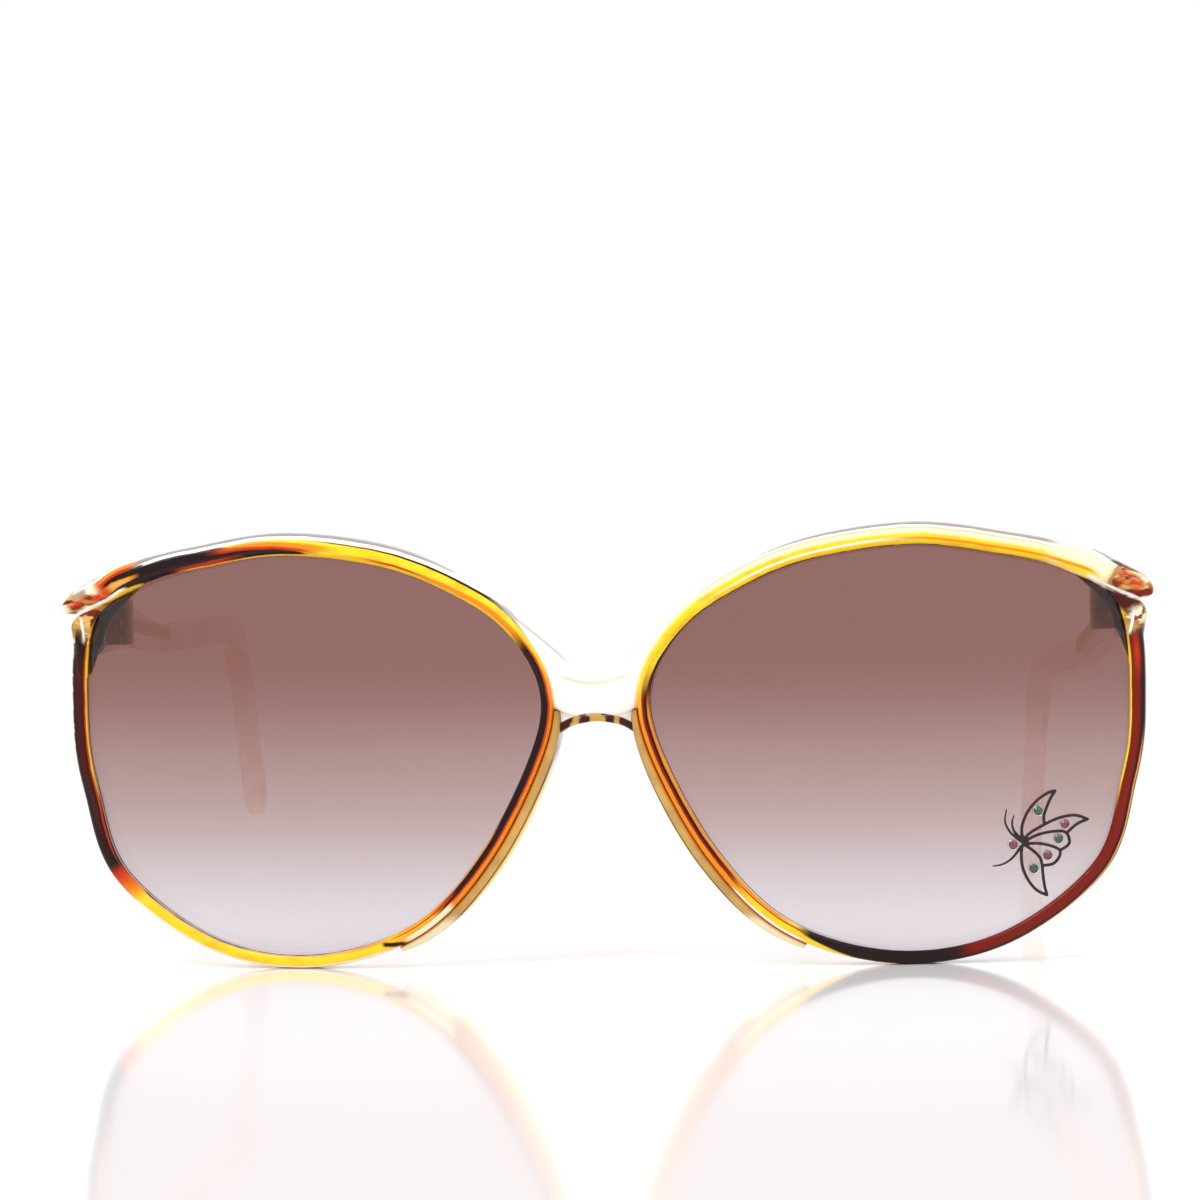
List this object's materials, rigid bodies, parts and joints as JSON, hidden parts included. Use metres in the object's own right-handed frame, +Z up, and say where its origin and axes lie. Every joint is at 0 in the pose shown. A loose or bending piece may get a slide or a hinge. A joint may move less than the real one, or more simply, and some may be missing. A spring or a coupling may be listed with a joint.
{
  "type": "sunglasses with a wire butterfly ornament",
  "caption": "Large rounded sunglasses with a swept brow, clear bridge, folding temples, gradient lenses and a small wire butterfly set with stones on one lens.",
  "frame": {"origin": "on the floor under the middle of the whole object as it stands, temples open", "axes": "+X towards the wearer's left temple, -Y out of the front of the lenses, +Y back along the temples, +Z up from the floor"},
  "size_m": [0.1452, 0.1352, 0.0579],
  "materials": {
    "tortoise": "polished, tortoise patches in amber, red-brown and near black",
    "lens_tint": "polished, brown tint that fades downwards",
    "pad_tan": "polished",
    "clear_arm": "polished, near clear, brown towards the tip",
    "hinge_metal": "satin",
    "screw_steel": "polished",
    "wire_dark": "dark plated wire",
    "setting_silver": "bright",
    "stone_red": "faceted",
    "stone_green": "faceted"
  },
  "bodies": {
    "front": {"front_frame": "tortoise", "lens_left": "lens_tint", "lens_right": "lens_tint", "nose_pad_left": "pad_tan", "nose_pad_right": "pad_tan", "hinge_front_left": "hinge_metal", "hinge_front_right": "hinge_metal", "hinge_screw_left": "screw_steel", "hinge_screw_right": "screw_steel", "butterfly_wire": "wire_dark", "setting_head": "setting_silver", "setting_upper_wing": "setting_silver", "setting_second_wing": "setting_silver", "setting_middle_lobe": "setting_silver", "setting_lower_lobe": "setting_silver", "setting_lower_wing": "setting_silver", "stone_head": "stone_red", "stone_upper_wing": "stone_green", "stone_second_wing": "stone_red", "stone_middle_lobe": "stone_green", "stone_lower_lobe": "stone_red", "stone_lower_wing": "stone_green"},
    "left_arm": {"temple_left": "clear_arm", "hinge_temple_left": "hinge_metal"},
    "right_arm": {"temple_right": "clear_arm", "hinge_temple_right": "hinge_metal"}
  },
  "joints": [
    {"name": "left_temple_fold", "type": "hinge", "parent": "front", "child": "left_arm", "pos_m": [0.0653, -0.05159, 0.04584], "axis": [0, 0.1065, 0.9943], "range_deg": [-10, 84]},
    {"name": "right_temple_fold", "type": "hinge", "parent": "front", "child": "right_arm", "pos_m": [-0.0653, -0.05159, 0.04584], "axis": [0, -0.0159, -0.9999], "range_deg": [-1, 89]}
  ]
}
